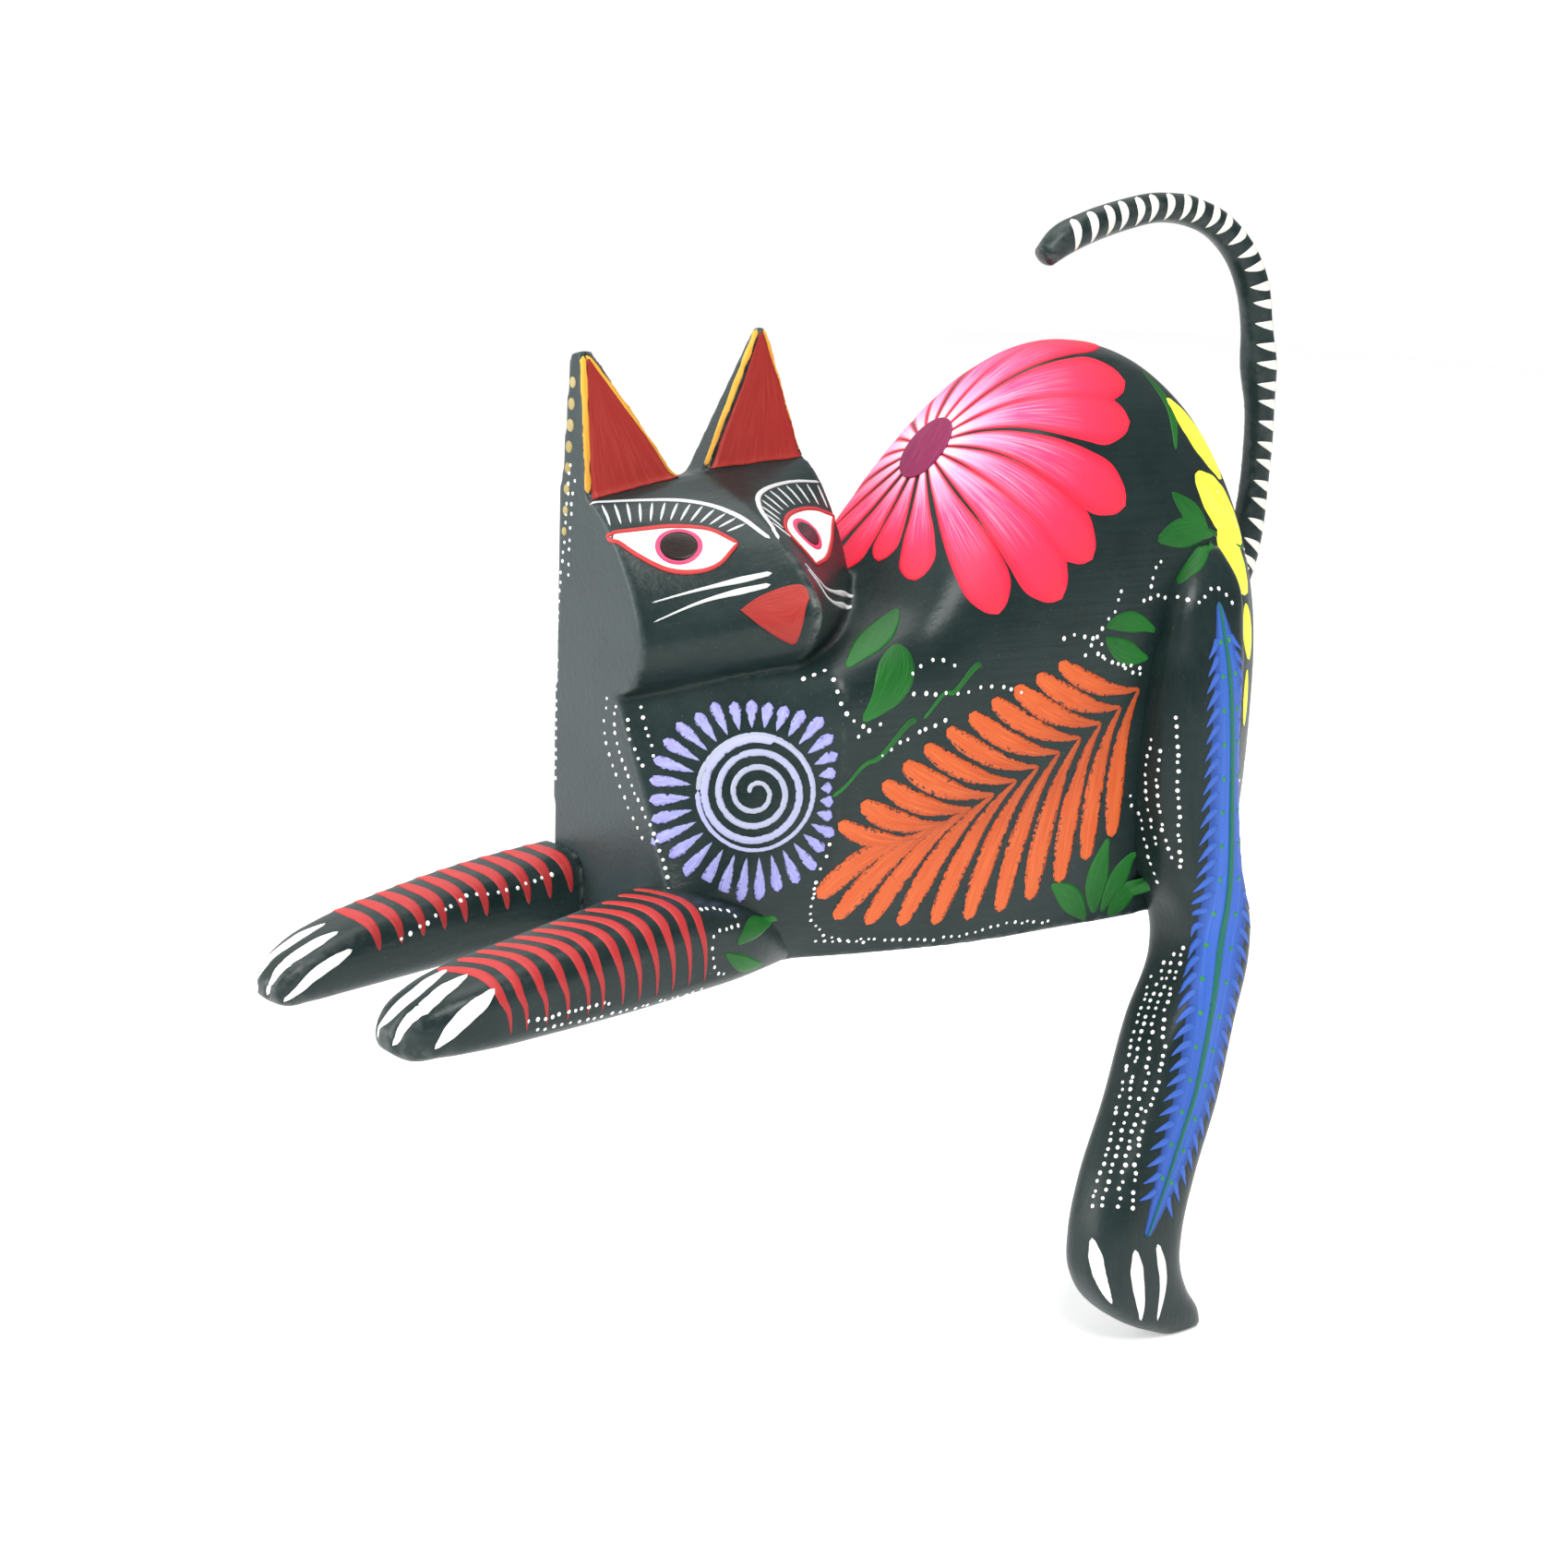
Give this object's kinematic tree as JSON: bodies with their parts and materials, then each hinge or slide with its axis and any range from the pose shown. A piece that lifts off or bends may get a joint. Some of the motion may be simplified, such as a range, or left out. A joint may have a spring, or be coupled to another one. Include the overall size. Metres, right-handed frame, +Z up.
{
  "type": "alebrije cat figure",
  "caption": "Carved, painted wooden cat that stretches along a shelf edge, with one hind leg hanging, glued-on legs and a branch tail that turns and pulls out.",
  "frame": {"origin": "middle of the flat belly, on the surface of the shelf that the cat lies on", "axes": "+X from the head to the rump, +Y to the cat's right side, +Z up; the left hind leg hangs below Z = 0 on the -Y side"},
  "size_m": [0.2339, 0.0903, 0.2259],
  "materials": {
    "painted_wood": "satin hand-brushed black-green paint on wood with bright painted motifs",
    "painted_branch": "satin black-green paint with cream rings on a smooth branch",
    "bare_wood": "bare turned hardwood stick, matte"
  },
  "bodies": {
    "figure": {"body_and_head": "painted_wood", "left_foreleg": "painted_wood", "right_foreleg": "painted_wood", "left_hind_leg": "painted_wood", "right_hind_leg": "painted_wood", "left_foreleg_dowel": "bare_wood", "right_foreleg_dowel": "bare_wood", "left_hind_dowel": "bare_wood", "right_hind_dowel": "bare_wood"},
    "peg": {"tail_peg": "bare_wood"},
    "tail": {"tail": "painted_branch"}
  },
  "joints": [
    {"name": "tail_twist", "type": "hinge", "parent": "figure", "child": "peg", "pos_m": [0.082, 0, 0.053], "axis": [0.7071, 0, 0.7071], "continuous": true},
    {"name": "tail_pull", "type": "slide", "parent": "peg", "child": "tail", "axis": [0.7071, 0, 0.7071], "range_m": [0, 0.014]}
  ]
}
